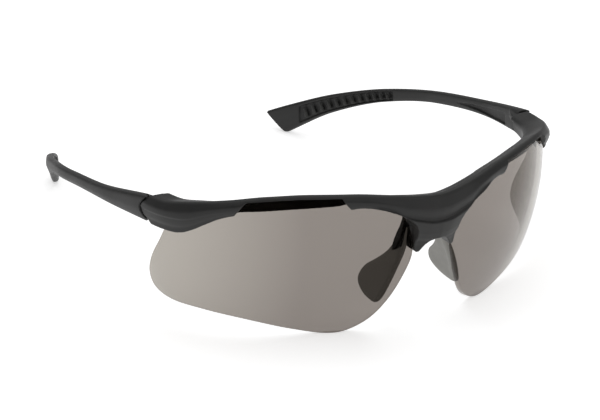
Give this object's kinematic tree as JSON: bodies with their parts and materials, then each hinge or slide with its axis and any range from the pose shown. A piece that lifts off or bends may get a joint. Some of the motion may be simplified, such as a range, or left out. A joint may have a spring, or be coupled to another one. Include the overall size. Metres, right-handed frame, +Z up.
{
  "type": "safety glasses",
  "caption": "Wrap-around half-rim safety glasses with tinted lenses, a moulded brow bar, soft nose pads and folding temples with ribbed grips.",
  "frame": {"origin": "centre of the bounding box at the height of the surface that the open glasses stand on", "axes": "+X to the wearer's left, +Y back along the open temples, +Z up; the lenses face -Y"},
  "size_m": [0.1434, 0.1734, 0.0476],
  "materials": {
    "black_nylon": "matte moulded nylon",
    "tinted_lens": "clear grey-brown tinted polycarbonate, polished",
    "soft_rubber": "soft matte elastomer",
    "steel": "plain small screw"
  },
  "bodies": {
    "front": {"frame_front": "black_nylon", "lens_left": "tinted_lens", "lens_right": "tinted_lens", "nose_pad_left": "soft_rubber", "nose_pad_right": "soft_rubber", "hinge_screw_left": "steel", "hinge_screw_right": "steel"},
    "temple_left": {"temple_left": "black_nylon", "temple_grip_left": "soft_rubber"},
    "temple_right": {"temple_right": "black_nylon", "temple_grip_right": "soft_rubber"}
  },
  "joints": [
    {"name": "fold_left", "type": "hinge", "parent": "front", "child": "temple_left", "pos_m": [0.0659, -0.0339, 0.0372], "axis": [0, 0, 1], "range_deg": [0, 82]},
    {"name": "fold_right", "type": "hinge", "parent": "front", "child": "temple_right", "pos_m": [-0.0659, -0.0339, 0.0372], "axis": [0, 0, -1], "range_deg": [0, 76]}
  ]
}
